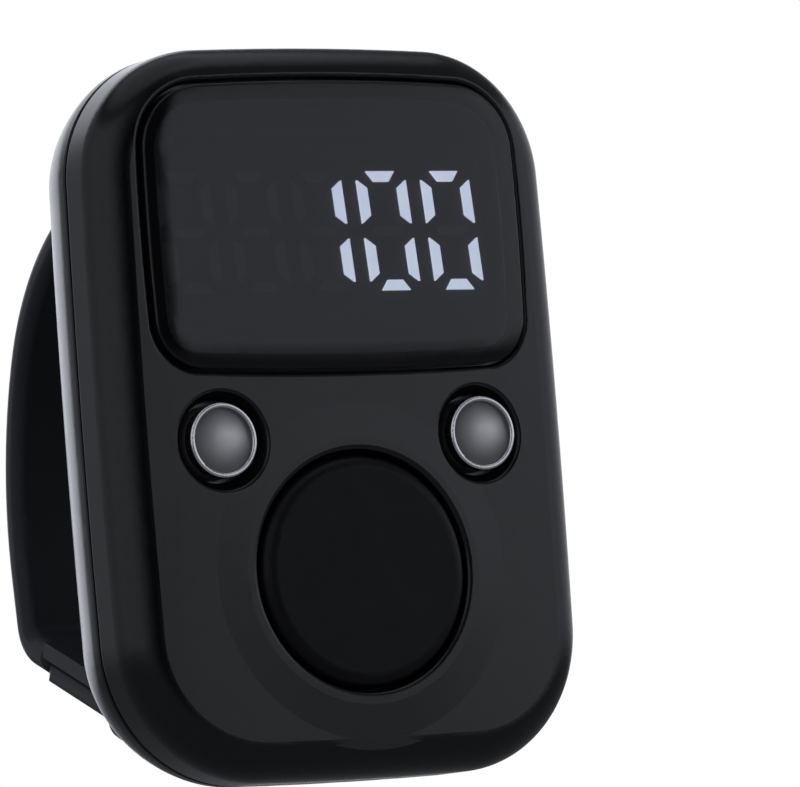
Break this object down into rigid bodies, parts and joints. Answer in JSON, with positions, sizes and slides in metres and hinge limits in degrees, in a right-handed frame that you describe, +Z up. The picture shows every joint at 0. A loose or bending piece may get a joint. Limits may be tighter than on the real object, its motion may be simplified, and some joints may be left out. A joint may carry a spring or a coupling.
{
  "type": "hand tally counter",
  "caption": "Digital finger tally counter: pebble-shaped case with lit number display, large count button, small keys and a buckled silicone finger strap.",
  "frame": {"origin": "centre of the whole counter's box, strap included", "axes": "+Z up the case from count button to display, -Y out of the display, +Y towards the finger, X along the finger hole"},
  "size_m": [0.0302, 0.0306, 0.042],
  "materials": {
    "case_plastic": "satin",
    "cover_plastic": "satin",
    "screw_steel": "blackened",
    "smoked_window": "gloss",
    "adhesive": "matte",
    "display_plastic": "matte",
    "tinned_wire": "satin",
    "lit_led": "lit",
    "dark_led": "satin",
    "board_laminate": "satin",
    "chip_epoxy": "matte",
    "can_metal": "satin",
    "chip_ceramic": "satin",
    "count_key_plastic": "matte",
    "cell_steel": "satin",
    "contact_spring": "satin",
    "strap_silicone": "matte",
    "stud_plastic": "satin",
    "pin_steel": "satin",
    "switch_plastic": "matte",
    "plunger_plastic": "matte",
    "grey_key_plastic": "gloss",
    "ring_chrome": "polished"
  },
  "bodies": {
    "case": {"front_shell": "case_plastic", "rear_cover": "cover_plastic", "case_screws": "screw_steel", "display_window": "smoked_window", "window_adhesive": "adhesive", "display_housing": "display_plastic", "display_pins": "tinned_wire", "lit_segments": "lit_led", "unlit_segments": "dark_led", "circuit_board": "board_laminate", "microcontroller": "chip_epoxy", "crystal": "can_metal", "passives": "chip_ceramic", "coin_cell": "cell_steel", "battery_minus_contact": "contact_spring", "battery_plus_contact": "contact_spring", "upper_strap_pin": "pin_steel", "lower_strap_pin": "pin_steel", "count_switch_base": "switch_plastic", "count_switch_cover": "can_metal", "count_switch_dome": "contact_spring", "left_switch_base": "switch_plastic", "left_switch_cover": "can_metal", "left_switch_dome": "contact_spring", "right_switch_base": "switch_plastic", "right_switch_cover": "can_metal", "right_switch_dome": "contact_spring"},
    "count_key": {"count_button": "count_key_plastic", "count_switch_plunger": "plunger_plastic"},
    "left_key": {"left_button": "grey_key_plastic", "left_button_ring": "ring_chrome", "left_switch_plunger": "plunger_plastic"},
    "right_key": {"right_button": "grey_key_plastic", "right_button_ring": "ring_chrome", "right_switch_plunger": "plunger_plastic"},
    "battery_lid": {"battery_door": "cover_plastic"},
    "short_band": {"strap_short_band": "strap_silicone", "strap_stud": "stud_plastic"},
    "long_band": {"strap_long_band": "strap_silicone"}
  },
  "joints": [
    {"name": "count_press", "type": "slide", "parent": "case", "child": "count_key", "axis": [0, 1, 0], "range_m": [0, 0.0006], "stiffness_N_per_m": 2600},
    {"name": "left_press", "type": "slide", "parent": "case", "child": "left_key", "axis": [0, 1, 0], "range_m": [0, 0.0004], "stiffness_N_per_m": 3200},
    {"name": "right_press", "type": "slide", "parent": "case", "child": "right_key", "axis": [0, 1, 0], "range_m": [0, 0.0004], "stiffness_N_per_m": 3200},
    {"name": "battery_door_turn", "type": "hinge", "parent": "case", "child": "battery_lid", "pos_m": [0, -0.00208, 0], "axis": [0, 1, 0], "range_deg": [0, 35]},
    {"name": "short_band_swing", "type": "hinge", "parent": "case", "child": "short_band", "pos_m": [0, 0.00022, -0.0159], "axis": [1, 0, 0], "range_deg": [-100, 0]},
    {"name": "long_band_swing", "type": "hinge", "parent": "case", "child": "long_band", "pos_m": [0, 0.00022, 0.0152], "axis": [1, 0, 0], "range_deg": [0, 20]}
  ],
  "couplings": [
    {"joint": "long_band_swing", "follows": "short_band_swing", "ratio": -0.2}
  ]
}
